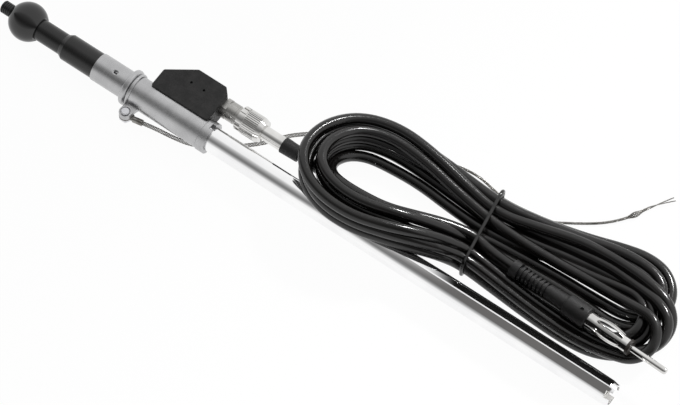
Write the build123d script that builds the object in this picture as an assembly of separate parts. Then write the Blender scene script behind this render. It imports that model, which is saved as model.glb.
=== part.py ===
from build123d import *
import os
from math import asin, cos, degrees, radians, sin, sqrt, tan

os.makedirs("parts", exist_ok=True)

# Frame: the mast axis is the X axis. x = 0 is the seat under the wing panel, +x runs down to the
# foot of the protective tube, -x to the tip of the mast, and +z is up. The aerial lies on the floor.

# Fits, all radial
fit_gap = 0.02
running_gap = 0.05
nest_gap = 0.1
cord_gap = 0.6
tube_cord_gap = 1.1

# Telescopic mast, from the inside out
rod_d = 2.1
section_wall = 0.3
section_space = 0.35
crimp_len = 4.0
crimp_bevel = 0.25
nest_step = 10.0
foot_len = 8.0
foot_slot_w = 0.6
foot_slot_len = 6.0
foot_slots = 4
lower_foot_wall = 0.8
mast_foot_x = 234.4

# Tip of the mast with its lock
cap_stand = 5.4
cap_sunk = 6.4
cap_clear = 0.02
cap_groove_depth = 0.35
cap_groove_w = 0.5
cap_groove_pitch = 1.0
cap_groove_count = 5
cap_bevel = 0.4
core_wall = 0.55
core_len = 7.0
key_bore_d = 3.6
key_depth = 5.0
key_slot_w = 0.9
key_slot_reach = 2.1
rod_socket_len = 4.0

# Ball head, neck and sleeve
ball_d = 18.0
neck_d = 10.0
ball_lip_d = 11.8
neck_len = 13.2
neck_spigot_d = 8.2
neck_spigot_len = 7.5
collar_d = 12.4
collar_len = 16.8
collar_bevel_len = 2.2
neck_tail_wall = 2.53
neck_tail_len = 18.2
sleeve_len = 16.4
sleeve_wall = 1.0
sleeve_spigot_wall = 0.5
sleeve_spigot_len = 9.5
stake_x = -6.2
stake_hole_d = 1.9
stake_rim_d = 2.9
stake_rim_depth = 0.3
stake_angle = 5.0

# Live guide, insulating liner and protective tube
contact_wall = 0.4
liner_wall = 0.7
tube_wall = 0.6
tube_seat_x = 22.4
tube_end_x = 253.5
tube_nose_len = 2.8
tube_nose_drop = 0.5
tube_seat_drop = 0.3
tube_step_gap = 0.5
tube_notch_w = 3.4
tube_notch_angle = 36.0
guide_setback = 12.1
bush_len = 9.1
bush_spigot_len = 4.0
bush_drain_d = 3.0

# Die-cast housing
housing_wall = 1.33
housing_len = 45.15
bead_w = 3.0
bead_rise = 1.5
bead_round = 1.3
ring_w = 1.9
ring_rise = 0.9
flange_len = 4.2
flange_rise = 0.35
shoulder_gap = 0.5
ear_x = 6.7
ear_y = -11.2
ear_d = 5.8
ear_top = 0.6
ear_bottom = -2.2
ear_recess_d = 4.7
ear_recess_depth = 0.7
web_thick = 1.9
web_reach = 3.4
feed_x = 20.2
feed_window = 3.2
dent_d = 1.8
dent_depth = 0.8
dent_inset = 2.0
flange_notch_w = 3.2
flange_notch_len = 1.6
flange_notch_angle = 17.0
dent_angles = (-36.0, 84.0, 204.0)

# Earth screw, nut and terminal
screw_d = 3.0
screw_head_d = 3.9
screw_head_h = 1.5
nut_flats = 5.5
nut_h = 1.6
eye_d = 6.0
eye_thick = 0.6
crimp_d = 2.9
crimp_start = 3.6
crimp_tube_len = 4.6
crimp_turn = 10.0
braid_w = 2.6
braid_thick = 0.9
braid_lead_in = 6.5

# Connection box
box_x = 10.1
box_len = 30.5
box_top = 7.0
box_bottom = -4.5
box_low_y = 12.9
box_reach_y = 21.6
box_slope_x = 12.6
box_corner_x = 3.0
box_corner_y = 3.3
box_root_y = 3.1
box_wall = 1.4
box_round = 1.2
box_near_round = 1.6
lid_thick = 1.3
lid_bevel = 0.4
lid_pin_d = 1.2
lid_pin_depth = 0.9
lid_pin_pitch = 6.8
lid_pin_x = 27.3
lid_pin_y = 14.4

# Coaxial socket, nut, ferrule and boot, on an axis beside the mast
socket_y = 15.7
socket_bore_d = 5.2
shank_d = 6.0
shank_len = 4.5
collar_flats = 8.2
socket_collar_d = 9.2
socket_collar_len = 2.3
socket_groove_d = 8.2
socket_groove_len = 0.7
barrel_d = 8.9
barrel_len = 3.8
thread_d = 8.6
thread_len = 9.8
contact_d = 1.8
contact_bore_d = 1.1
socket_core_back = 3.0
socket_core_len = 14.0
contact_back = 6.5
contact_len = 21.5
nut_d = 11.7
nut_cover = 7.9
nut_front_len = 2.6
nut_front_d = 11.4
nut_groove_len = 0.6
nut_groove_d = 10.4
nut_grip_len = 7.0
nut_back_len = 2.2
nut_back_d = 10.4
nut_lip_len = 2.3
nut_slots = 12
nut_slot_w = 0.9
nut_slot_depth = 0.55
nut_ridges = 40
nut_ridge_depth = 0.28
ferrule_d = 6.6
ferrule_len = 15.1
ferrule_flange_d = 8.4
ferrule_flange_len = 1.8
ferrule_nose_len = 4.4
ferrule_wall = 0.65
ferrule_barb_d = 5.8
ferrule_barb_len = 3.1
ferrule_core_len = 11.0
connector_pin_len = 15.0
connector_pin_reach = 4.0
boot_d = 7.5
boot_end_d = 6.9
boot_len = 8.6

# Aerial lead
cable_d = 5.0
lead_stand = 9.5
tail_len = 16.0

# Aerial plug, along its own axis from the back of the collar to the tip of the pin
plug_start = (186.4, 24.2, 10.0)
plug_tip = (266.8, 19.2, 15.0)
relief_collar_d = 8.0
relief_collar_len = 3.6
relief_d = 6.9
relief_core_d = 5.2
rib_count = 8
rib_len = 16.3
rib_share = 0.55
relief_neck_len = 8.6
relief_neck_d = 7.6
grip_d = 10.1
grip_len = 11.6
grip_round = 0.8
grip_dimple_d = 1.7
grip_dimple_depth = 0.8
grip_dimple_x = 8.0
plug_barrel_back_d = 6.9
plug_barrel_d = 8.8
plug_barrel_front_d = 6.6
plug_barrel_len = 20.8
plug_barrel_wall = 0.45
plug_barrel_band = 3.2
plug_slots = 4
plug_slot_w = 2.9
plug_slot_len = 13.6
plug_slot_angle = 66.0
disc_len = 1.5
disc_d = 7.2
pin_d = 3.05
pin_tail_len = 24.0
pin_tail_d = 2.2

# Tie round the waist of the hank
tie_x = 167.0
tie_y = 32.1
tie_z = 6.1
tie_turn = 8.2
tie_inner_w = 40.0
tie_inner_h = 9.9
tie_thick = 1.0
tie_w = 1.8
tie_round = 3.2

# Sizes that follow from the ones above
rod_r = rod_d / 2
upper_bore_r = rod_r + section_space
upper_r = upper_bore_r + section_wall
middle_bore_r = upper_r + section_space
middle_r = middle_bore_r + section_wall
lower_bore_r = middle_r + section_space
lower_r = lower_bore_r + section_wall
mast_bore_r = lower_r + running_gap
contact_bore_r = lower_r + lower_foot_wall + running_gap
contact_r = contact_bore_r + contact_wall
liner_bore_r = contact_r + nest_gap
liner_r = liner_bore_r + liner_wall
tube_bore_r = liner_r + nest_gap
tube_r = tube_bore_r + tube_wall
housing_r = tube_r + fit_gap + housing_wall
neck_tail_r = mast_bore_r + neck_tail_wall
sleeve_bore_r = neck_tail_r + fit_gap
sleeve_r = sleeve_bore_r + sleeve_wall
sleeve_spigot_r = sleeve_bore_r + sleeve_spigot_wall

ball_r = ball_d / 2
ball_lip_r = ball_lip_d / 2
neck_r = neck_d / 2
collar_r = collar_d / 2
collar_top_x = -sleeve_len - collar_len
neck_foot_x = collar_top_x - collar_bevel_len
ball_back_x = neck_foot_x - neck_len
ball_x = ball_back_x - sqrt(ball_r**2 - ball_lip_r**2)
ball_front_x = ball_x - sqrt(ball_r**2 - mast_bore_r**2)
mast_top_x = ball_front_x + cap_sunk
cap_top_x = ball_front_x - cap_stand
cap_r = lower_r - cap_clear
core_r = cap_r - core_wall
neck_tail_end_x = neck_tail_len - sleeve_len
floor_z = -ball_r
guide_end_x = tube_end_x - guide_setback

box_end_x = box_x + box_len
socket_end_x = box_end_x + socket_collar_len + socket_groove_len + barrel_len + thread_len
nut_start = socket_end_x - nut_cover
nut_end_x = nut_start + nut_front_len + nut_groove_len + nut_grip_len + nut_back_len
cable_r = cable_d / 2
ferrule_end_x = socket_end_x + ferrule_len
boot_end_x = ferrule_end_x + boot_len
lead_start_x = ferrule_end_x + ferrule_barb_len
lead_end_x = boot_end_x + lead_stand

pieces = {}


def turned(*outline):
    """Solid turned about the X axis from an (x, radius) outline."""
    return revolve(make_face(Polyline(*outline, close=True)), Axis.X)


def ring(start, end, inner, outer):
    """Plain turned tube from x = start to x = end."""
    return turned((start, inner), (start, outer), (end, outer), (end, inner))


def rod(start, end, radius):
    """Plain turned bar from x = start to x = end."""
    return turned((start, 0), (start, radius), (end, radius), (end, 0))


def around(count, shape, start=0.0):
    """Copies of a shape spaced evenly round the X axis."""
    return [Rot(X=start + 360 * i / count) * shape for i in range(count)]


def mast_section(bottom_x, bore_r, outer_r, guest_r):
    """Mast tube whose top end is crimped in to guide the section that slides inside it."""
    guide_r = guest_r + running_gap
    return turned(
        (mast_top_x, guide_r),
        (mast_top_x, outer_r - crimp_bevel),
        (mast_top_x + crimp_bevel, outer_r),
        (bottom_x, outer_r),
        (bottom_x, bore_r),
        (mast_top_x + crimp_len, bore_r),
        (mast_top_x + crimp_len - crimp_bevel, guide_r),
    )


def section_foot(bottom_x, section_r, guide_bore_r):
    """Slotted spring sleeve on the foot of a mast section."""
    foot = ring(bottom_x - foot_len, bottom_x, section_r + fit_gap, guide_bore_r - running_gap)
    slot_x = bottom_x - foot_len + foot_slot_len / 2
    slot = Pos(slot_x, 0, guide_bore_r) * Box(foot_slot_len, foot_slot_w, guide_bore_r)
    return foot - around(foot_slots, slot)


def telescopic_mast():
    """Three tubes and a rod, each with its spring foot."""
    lower_x = mast_foot_x
    middle_x = lower_x - nest_step
    upper_x = middle_x - nest_step
    rod_x = upper_x - nest_step
    pieces["lower_section"] = mast_section(lower_x, lower_bore_r, lower_r, middle_r)
    pieces["middle_section"] = mast_section(middle_x, middle_bore_r, middle_r, upper_r)
    pieces["upper_section"] = mast_section(upper_x, upper_bore_r, upper_r, rod_r)
    pieces["tip_rod"] = rod(mast_top_x - rod_socket_len, rod_x, rod_r)
    pieces["lower_foot"] = section_foot(lower_x, lower_r, contact_bore_r)
    pieces["middle_foot"] = section_foot(middle_x, middle_r, lower_bore_r)
    pieces["upper_foot"] = section_foot(upper_x, upper_r, middle_bore_r)
    pieces["rod_foot"] = section_foot(rod_x, rod_r, upper_bore_r)


def mast_tip():
    """Ribbed cap on the rod, and the lock core that turns in it."""
    cap_end_x = mast_top_x - running_gap
    cap = turned(
        (cap_top_x, 0),
        (cap_top_x, cap_r - cap_bevel),
        (cap_top_x + cap_bevel, cap_r),
        (cap_end_x, cap_r),
        (cap_end_x, 0),
    )
    for i in range(cap_groove_count):
        groove_x = cap_top_x + cap_bevel + cap_groove_pitch * (i + 0.5)
        cap -= ring(groove_x, groove_x + cap_groove_w, cap_r - cap_groove_depth, 2 * cap_r)
    cap -= rod(cap_top_x - cap_bevel, cap_top_x + core_len + running_gap, core_r + running_gap)
    cap -= rod(mast_top_x - rod_socket_len - fit_gap, mast_top_x, rod_r + fit_gap)
    core = rod(cap_top_x, cap_top_x + core_len, core_r)
    core -= rod(cap_top_x - cap_bevel, cap_top_x + key_depth, key_bore_d / 2)
    slot_reach = Pos(cap_top_x + key_depth / 2, 0, key_slot_reach / 2)
    core -= slot_reach * Box(key_depth, key_slot_w, key_slot_reach)
    pieces["tip_cap"] = cap
    pieces["lock_core"] = core


def ball_and_neck():
    """Ball on a spigot, and the neck moulding that runs down into the sleeve."""
    spigot_r = neck_spigot_d / 2
    spigot_x = ball_back_x - neck_spigot_len
    outline = Curve() + [
        ThreePointArc((ball_front_x, mast_bore_r), (ball_x, ball_r), (ball_back_x, ball_lip_r)),
        Polyline(
            (ball_back_x, ball_lip_r),
            (ball_back_x, spigot_r + fit_gap),
            (spigot_x, spigot_r + fit_gap),
            (spigot_x, mast_bore_r),
            (ball_front_x, mast_bore_r),
        ),
    ]
    pieces["ball_head"] = revolve(make_face(outline), Axis.X)
    pieces["neck_insulator"] = turned(
        (spigot_x, mast_bore_r),
        (spigot_x, spigot_r),
        (ball_back_x, spigot_r),
        (ball_back_x, neck_r),
        (neck_foot_x, neck_r),
        (collar_top_x, collar_r),
        (-sleeve_len, collar_r),
        (-sleeve_len, neck_tail_r),
        (neck_tail_end_x, neck_tail_r),
        (neck_tail_end_x, mast_bore_r),
    )


def upper_sleeve():
    """Bright sleeve with a stake hole, stepped where it enters the housing."""
    sleeve = turned(
        (-sleeve_len, sleeve_bore_r),
        (-sleeve_len, sleeve_r),
        (0, sleeve_r),
        (0, sleeve_spigot_r),
        (sleeve_spigot_len, sleeve_spigot_r),
        (sleeve_spigot_len, sleeve_bore_r),
    )
    stake = Pos(stake_x, 0, sleeve_r) * Cylinder(stake_hole_d / 2, 2 * sleeve_wall + fit_gap)
    rim = Pos(stake_x, 0, sleeve_r) * Cone(
        stake_hole_d / 2, stake_rim_d / 2, stake_rim_depth, align=(Align.CENTER, Align.CENTER, Align.MAX)
    )
    pieces["upper_sleeve"] = sleeve - Rot(X=stake_angle) * (stake + rim)


def housing():
    """Casting with a double bead, a screw ear, a feed window and a flange with stake dents."""
    bead_r = housing_r + bead_rise
    bead_foot_r = housing_r + ring_rise
    ring_end_x = bead_w + ring_w
    flange_x = housing_len - flange_len
    flange_r = housing_r + flange_rise
    tube_hole_r = tube_r - tube_seat_drop + fit_gap
    sleeve_hole_r = sleeve_spigot_r + fit_gap
    shoulder_x = sleeve_spigot_len + shoulder_gap
    side_r = bead_r - bead_round
    arc_share = bead_round * (1 - sqrt(0.5))
    outline = Curve() + [
        Polyline((0, sleeve_hole_r), (0, side_r)),
        ThreePointArc((0, side_r), (arc_share, bead_r - arc_share), (bead_round, bead_r)),
        Line((bead_round, bead_r), (bead_w - bead_round, bead_r)),
        ThreePointArc(
            (bead_w - bead_round, bead_r),
            (bead_w - arc_share, bead_r - arc_share),
            (bead_w, side_r),
        ),
        Line((bead_w, side_r), (bead_w, housing_r)),
        ThreePointArc((bead_w, housing_r), (bead_w + ring_w / 2, bead_foot_r), (ring_end_x, housing_r)),
        Polyline(
            (ring_end_x, housing_r),
            (flange_x, housing_r),
            (flange_x + flange_rise, flange_r),
            (housing_len, flange_r),
            (housing_len, tube_hole_r),
            (tube_seat_x, tube_hole_r),
            (tube_seat_x, tube_bore_r),
            (shoulder_x, tube_bore_r),
            (shoulder_x, sleeve_hole_r),
            (0, sleeve_hole_r),
        ),
    ]
    body = revolve(make_face(outline), Axis.X)
    ear_r = ear_d / 2
    ear_h = ear_top - ear_bottom
    upright = (Align.CENTER, Align.CENTER, Align.MIN)
    ear = Pos(ear_x, ear_y, ear_bottom) * Cylinder(ear_r, ear_h, align=upright)
    web_root_y = -housing_r / 2
    web_end_x = ear_x + ear_r + web_reach
    web_outline = Curve() + [
        Polyline(
            (web_end_x, web_root_y),
            (ear_x - ear_r, web_root_y),
            (ear_x - ear_r, ear_y),
            (ear_x + ear_r, ear_y),
        ),
        ThreePointArc(
            (ear_x + ear_r, ear_y),
            (ear_x + ear_r + web_reach / 5, (ear_y + web_root_y) / 2),
            (web_end_x, web_root_y),
        ),
    ]
    web_z = (ear_top + ear_bottom - web_thick) / 2
    web = Pos(0, 0, web_z) * extrude(make_face(web_outline), web_thick)
    ear_and_web = (ear + web) - rod(-bead_w, housing_len, housing_r - housing_wall / 2)
    ear_hole = Pos(ear_x, ear_y, ear_bottom) * Cylinder(screw_d / 2 + fit_gap, ear_h, align=upright)
    recess = Pos(ear_x, ear_y, ear_top - ear_recess_depth) * Cylinder(
        ear_recess_d / 2, ear_recess_depth, align=upright
    )
    window = Pos(feed_x, housing_r, 0) * Box(feed_window, 2 * (housing_r - contact_r), feed_window)
    casting = body + ear_and_web - ear_hole - recess - window
    for angle in dent_angles:
        dent = Pos(housing_len - dent_inset, 0, flange_r + dent_depth / 2) * Cone(
            dent_d / 6, dent_d / 2, 1.5 * dent_depth
        )
        casting -= Rot(X=-angle) * dent
    notch_depth = flange_r - tube_hole_r
    notch = Pos(housing_len, 0, flange_r) * Box(2 * flange_notch_len, flange_notch_w, 2 * notch_depth)
    pieces["housing"] = casting - Rot(X=-flange_notch_angle) * notch


def guide_tubes():
    """Contact tube, its insulating liner, the protective tube and the bush at their foot."""
    contact = ring(neck_tail_end_x, guide_end_x, contact_bore_r, contact_r)
    liner = ring(neck_tail_end_x, guide_end_x, liner_bore_r, liner_r)
    window = Pos(feed_x, liner_r, 0) * Box(feed_window, 2 * liner_r, feed_window)
    liner -= window
    nose_x = tube_end_x - tube_nose_len
    step_x = housing_len + tube_step_gap
    tube = turned(
        (tube_seat_x, tube_bore_r),
        (tube_seat_x, tube_r - tube_seat_drop),
        (step_x, tube_r - tube_seat_drop),
        (step_x, tube_r),
        (nose_x, tube_r),
        (tube_end_x, tube_r - tube_nose_drop),
        (tube_end_x, tube_bore_r - tube_nose_drop),
        (nose_x, tube_bore_r),
    )
    notch = Pos(tube_end_x, 0, 0) * Box(2 * tube_nose_len, tube_notch_w, 4 * tube_r)
    bush_end_x = guide_end_x + bush_len
    bush = turned(
        (guide_end_x - bush_spigot_len, bush_drain_d / 2),
        (guide_end_x - bush_spigot_len, contact_bore_r - fit_gap),
        (guide_end_x, contact_bore_r - fit_gap),
        (guide_end_x, tube_bore_r - fit_gap),
        (bush_end_x, tube_bore_r - fit_gap),
        (bush_end_x, bush_drain_d / 2),
    )
    pieces["contact_tube"] = contact
    pieces["guide_liner"] = liner
    pieces["protective_tube"] = tube - Rot(X=tube_notch_angle) * notch
    pieces["foot_bush"] = bush


def earth_fixing():
    """Screw through the ear, the crimped eye under it and its nut."""
    hang = (Align.CENTER, Align.CENTER, Align.MAX)
    head_z = ear_top - ear_recess_depth
    eye_z = ear_bottom - eye_thick
    at_ear = Pos(ear_x, ear_y, 0)
    head = Pos(0, 0, head_z) * Cylinder(
        screw_head_d / 2, screw_head_h, align=(Align.CENTER, Align.CENTER, Align.MIN)
    )
    head = fillet(head.edges().group_by(Axis.Z)[-1], screw_head_h / 3)
    shank = Pos(0, 0, head_z) * Cylinder(screw_d / 2, head_z - eye_z + nut_h, align=hang)
    nut = Pos(0, 0, eye_z - nut_h) * extrude(RegularPolygon(nut_flats / 2, 6, major_radius=False), nut_h)
    nut -= Cylinder(screw_d / 2 + fit_gap, 4 * ear_d)
    eye = Pos(0, 0, eye_z) * extrude(Circle(eye_d / 2), eye_thick)
    tongue = Pos(crimp_start / 2, 0, eye_z + eye_thick / 2) * Box(crimp_start, crimp_d, eye_thick)
    crimp = Pos(0, 0, eye_z + eye_thick - crimp_d / 2) * rod(
        crimp_start, crimp_start + crimp_tube_len, crimp_d / 2
    )
    terminal = eye + tongue + crimp - Cylinder(screw_d / 2 + fit_gap, 4 * ear_d)
    pieces["earth_screw"] = at_ear * (head + shank)
    pieces["earth_nut"] = at_ear * nut
    pieces["ring_terminal"] = at_ear * Rot(Z=crimp_turn) * terminal


def box_outline(inset):
    """Outline of the connection box seen from above, drawn in by a wall."""
    outline = Polyline(
        (box_x, box_root_y),
        (box_x, box_low_y),
        (box_x + box_slope_x, box_reach_y),
        (box_end_x - box_corner_x, box_reach_y),
        (box_end_x, box_reach_y - box_corner_y),
        (box_end_x, box_root_y),
        close=True,
    )
    face = make_face(outline)
    if inset:
        return offset(face, -inset, kind=Kind.INTERSECTION)
    face = fillet(face.vertices().group_by(Axis.Y)[0], box_near_round)
    far_y = box_root_y + 2 * box_near_round
    return fillet(face.vertices().filter_by(lambda corner: corner.Y > far_y), box_round)


def connection_box():
    """Open box that saddles the housing, and its bevelled lid."""
    depth = box_top - box_bottom - lid_thick
    saddle = rod(box_x - box_len, box_end_x + box_len, housing_r + fit_gap)
    shank_hole_r = shank_d / 2 + fit_gap
    shank_hole = Pos(0, socket_y, 0) * rod(box_end_x - 2 * box_wall, box_end_x + box_wall, shank_hole_r)
    body = Pos(0, 0, box_bottom) * extrude(box_outline(0), depth)
    hollow = Pos(0, 0, box_bottom + box_wall) * extrude(box_outline(box_wall), depth)
    lid = Pos(0, 0, box_top - lid_thick) * extrude(box_outline(0), lid_thick)
    lid = chamfer(lid.edges().group_by(Axis.Z)[-1], lid_bevel)
    for side in (-0.5, 0.5):
        lid -= Pos(lid_pin_x + side * lid_pin_pitch, lid_pin_y, box_top) * Cylinder(
            lid_pin_d / 2, 2 * lid_pin_depth
        )
    pieces["box_body"] = body - hollow - saddle - shank_hole
    pieces["box_lid"] = lid - saddle


def feed_and_socket():
    """Strip from the contact tube to the socket, and the socket in the end of the box."""
    strip_thick = feed_window / 6
    strip_w = feed_window * 0.6
    contact_x = box_end_x - contact_back
    leg_y = contact_r + fit_gap
    leg = Pos(feed_x, (leg_y + socket_y) / 2, 0) * Box(strip_w, socket_y - leg_y, strip_thick)
    run = Pos((feed_x + contact_x) / 2, socket_y, 0) * Box(contact_x - feed_x, strip_w, strip_thick)
    collar_x = box_end_x + socket_collar_len
    groove_x = collar_x + socket_groove_len
    barrel_x = groove_x + barrel_len
    shell = turned(
        (box_end_x - shank_len, socket_bore_d / 2),
        (box_end_x - shank_len, shank_d / 2),
        (box_end_x, shank_d / 2),
        (box_end_x, socket_collar_d / 2),
        (collar_x, socket_collar_d / 2),
        (collar_x, socket_groove_d / 2),
        (groove_x, socket_groove_d / 2),
        (groove_x, barrel_d / 2),
        (barrel_x, barrel_d / 2),
        (barrel_x, thread_d / 2),
        (socket_end_x, thread_d / 2),
        (socket_end_x, socket_bore_d / 2),
    )
    flat = Pos(box_end_x, 0, collar_flats) * Box(2 * socket_collar_len, 2 * barrel_d, collar_flats)
    shell -= [flat, Rot(X=180) * flat]
    core_x = box_end_x - socket_core_back
    core = ring(core_x, core_x + socket_core_len, contact_d / 2 + fit_gap, socket_bore_d / 2 - fit_gap)
    contact = rod(contact_x, contact_x + contact_len, contact_d / 2)
    contact -= rod(box_end_x, contact_x + 2 * contact_len, contact_bore_d / 2)
    pieces["feed_strip"] = leg + run
    pieces["socket_shell"] = Pos(0, socket_y, 0) * shell
    pieces["socket_insulator"] = Pos(0, socket_y, 0) * core
    pieces["socket_contact"] = Pos(0, socket_y, 0) * contact


def coupling_nut():
    """Nut with a slotted front ring and a straight-knurled grip, turning on the ferrule."""
    front_x = nut_start + nut_front_len
    grip_x = front_x + nut_groove_len
    back_x = grip_x + nut_grip_len
    lip_x = nut_end_x - nut_lip_len
    thread_bore_r = thread_d / 2 + running_gap
    lip_r = ferrule_d / 2 + running_gap
    nut = turned(
        (nut_start, thread_bore_r),
        (nut_start, nut_front_d / 2),
        (front_x, nut_front_d / 2),
        (front_x, nut_groove_d / 2),
        (grip_x, nut_groove_d / 2),
        (grip_x, nut_d / 2),
        (back_x, nut_d / 2),
        (nut_end_x, nut_back_d / 2),
        (nut_end_x, lip_r),
        (lip_x, lip_r),
        (lip_x, thread_bore_r),
    )
    slot = Pos(nut_start + nut_front_len / 2, 0, nut_front_d / 2) * Box(
        nut_front_len, nut_slot_w, 2 * nut_slot_depth
    )
    nut -= around(nut_slots, slot)
    valley = Pos((grip_x + back_x) / 2, 0, nut_d / 2) * Rot(X=45) * Box(
        nut_grip_len, nut_ridge_depth * sqrt(2), nut_ridge_depth * sqrt(2)
    )
    nut -= around(nut_ridges, valley)
    pieces["coupling_nut"] = Pos(0, socket_y, 0) * nut


def cable_connector():
    """Ferrule that the nut draws against the socket, with its pin, its insulator and the boot."""
    flange_x = socket_end_x + running_gap
    body_x = flange_x + ferrule_flange_len
    nose_x = flange_x - ferrule_nose_len
    bore_r = socket_bore_d / 2 - running_gap - ferrule_wall
    core_end_x = flange_x + ferrule_core_len
    ferrule = turned(
        (nose_x, bore_r),
        (nose_x, socket_bore_d / 2 - running_gap),
        (flange_x, socket_bore_d / 2 - running_gap),
        (flange_x, ferrule_flange_d / 2),
        (body_x, ferrule_flange_d / 2),
        (body_x, ferrule_d / 2),
        (ferrule_end_x, ferrule_d / 2),
        (ferrule_end_x, ferrule_barb_d / 2),
        (lead_start_x, ferrule_barb_d / 2),
        (lead_start_x, 0),
        (core_end_x, 0),
        (core_end_x, bore_r),
    )
    pin_r = contact_bore_d / 2 - running_gap
    pin_x = core_end_x - connector_pin_len
    core = ring(core_end_x - ferrule_core_len, core_end_x, pin_r + fit_gap, bore_r - fit_gap)
    boot = turned(
        (ferrule_end_x, ferrule_barb_d / 2 + fit_gap),
        (ferrule_end_x, boot_d / 2),
        (boot_end_x, boot_end_d / 2),
        (boot_end_x, cable_r + fit_gap),
        (lead_start_x, cable_r + fit_gap),
        (lead_start_x, ferrule_barb_d / 2 + fit_gap),
    )
    pieces["cable_ferrule"] = Pos(0, socket_y, 0) * ferrule
    pieces["connector_insulator"] = Pos(0, socket_y, 0) * core
    pieces["connector_pin"] = Pos(0, socket_y, 0) * rod(pin_x, core_end_x, pin_r)
    pieces["cable_boot"] = Pos(0, socket_y, 0) * boot


# Direction of the plug: it lies in the right-hand loop with its pin on the turns of the lead
plug_line = Vector(*plug_tip) - Vector(*plug_start)
plug_yaw = Vector(plug_line.X, plug_line.Y, 0).get_signed_angle(Vector(1, 0, 0), Vector(0, 0, -1))
plug_pitch = degrees(asin(plug_line.Z / plug_line.length))
plug_turn = Rot(Z=plug_yaw) * Rot(Y=-plug_pitch)
plug_place = Pos(plug_start[0], plug_start[1], plug_start[2] + floor_z) * plug_turn


def aerial_plug():
    """Ribbed strain relief, grip, slotted bulging barrel, insulating disc and pin."""
    rib_x = relief_collar_len
    neck_x = rib_x + rib_len
    grip_x = neck_x + relief_neck_len
    barrel_x = grip_x + grip_len
    disc_x = barrel_x + plug_barrel_len
    pin_x = disc_x + disc_len
    tip_x = plug_line.length
    relief = turned(
        (0, 0),
        (0, relief_collar_d / 2),
        (rib_x, relief_collar_d / 2),
        (rib_x, relief_core_d / 2),
        (neck_x, relief_core_d / 2),
        (neck_x, relief_d / 2),
        (grip_x, relief_neck_d / 2),
        (grip_x, 0),
    )
    rib_pitch = rib_len / rib_count
    for i in range(rib_count):
        start = rib_x + rib_pitch * (i + 1 - rib_share)
        relief += ring(start, start + rib_pitch * rib_share, relief_core_d / 4, relief_d / 2)
    grip = rod(grip_x, barrel_x, grip_d / 2)
    grip = fillet(grip.edges().filter_by(GeomType.CIRCLE), grip_round)
    grip -= Pos(grip_x + grip_dimple_x, 0, grip_d / 2) * Cylinder(grip_dimple_d / 2, 2 * grip_dimple_depth)
    tail_x = pin_x - pin_tail_len
    pin_r = pin_d / 2
    tail_hole_r = pin_tail_d / 2 + fit_gap
    grip -= rod(tail_x, disc_x, tail_hole_r)
    band_x = barrel_x + plug_barrel_band
    front_x = disc_x - plug_barrel_band
    back_r = plug_barrel_back_d / 2
    front_r = plug_barrel_front_d / 2
    crown_x = (band_x + front_x) / 2
    crown_r = plug_barrel_d / 2
    wall = plug_barrel_wall
    outline = Curve() + [
        Line((barrel_x, back_r), (band_x, back_r)),
        ThreePointArc((band_x, back_r), (crown_x, crown_r), (front_x, front_r)),
        Polyline(
            (front_x, front_r),
            (disc_x, front_r),
            (disc_x, front_r - wall),
            (front_x, front_r - wall),
        ),
        ThreePointArc((front_x, front_r - wall), (crown_x, crown_r - wall), (band_x, back_r - wall)),
        Polyline((band_x, back_r - wall), (barrel_x, back_r - wall), (barrel_x, back_r)),
    ]
    barrel = revolve(make_face(outline), Axis.X)
    slot_end = plug_slot_len / 2
    slot_outline = Curve() + [
        ThreePointArc((-slot_end, 0), (0, plug_slot_w / 2), (slot_end, 0)),
        ThreePointArc((slot_end, 0), (0, -plug_slot_w / 2), (-slot_end, 0)),
    ]
    slot = Pos(crown_x, 0, front_r / 2) * extrude(make_face(slot_outline), crown_r)
    barrel -= around(plug_slots, slot, plug_slot_angle)
    disc = ring(disc_x, pin_x, tail_hole_r, disc_d / 2)
    disc += ring(disc_x - plug_barrel_band, disc_x, tail_hole_r, front_r - wall - fit_gap)
    pin = rod(pin_x, tip_x, pin_r)
    pin = fillet(pin.edges().group_by(Axis.X)[-1], pin_r * 0.8)
    pin += rod(tail_x, pin_x, pin_tail_d / 2)
    solids = {
        "strain_relief": relief,
        "plug_grip": grip,
        "plug_barrel": barrel,
        "plug_insulator": disc,
        "plug_pin": pin,
    }
    for name, solid in solids.items():
        pieces[name] = plug_place * solid


# Plan of the hank: its outside and the open left-hand loop
hank_outside = [
    (166.4, 12.8), (186.4, 12.8), (206.4, 12.4), (226.4, 11.0), (244.4, 13), (255.9, 23),
    (258.9, 38), (252.9, 54), (236.4, 64.6), (216.4, 63), (196.4, 57.2), (178.4, 52.6),
    (160.4, 51.4), (142.4, 52.8), (124.4, 53.4), (106.4, 52), (90.4, 45.5), (81.4, 32),
    (80, 16), (86.4, 0), (100.4, -6), (118.4, -6.8), (135.4, -3.2), (148.4, 4.2),
]
hank_left_loop = [
    (99.4, 26), (105.4, 18.6), (120.4, 17.6), (137.4, 22.6), (155.4, 32.2), (138.4, 36),
    (120.4, 37.4), (106.4, 34.6),
]
# Heights of the wound turns above the floor, as (y, z) sections: over the tube, at the waist, on the floor
hank_on_tube = [
    (-9, 14), (-9, 29), (6, 29), (17, 26), (31, 21.5), (44, 16), (70, 15.5), (70, 1.4), (9, 1.4),
]
hank_waist = [
    (-9, 1.4), (-9, 10.7), (6, 10.8), (17, 10.9), (31, 10.9), (44, 10.8), (70, 10.7), (70, 1.4), (9, 1.3),
]
hank_flat = [
    (-9, 0), (-9, 9.3), (6, 9.4), (17, 9.5), (31, 9.5), (44, 9.4), (70, 9.3), (70, 0), (9, 0),
]
hank_sections = [
    (58.4, hank_on_tube), (124.4, hank_on_tube),
    (161.4, hank_waist), (193.4, hank_waist),
    (220.4, hank_flat), (268.4, hank_flat),
]


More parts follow.
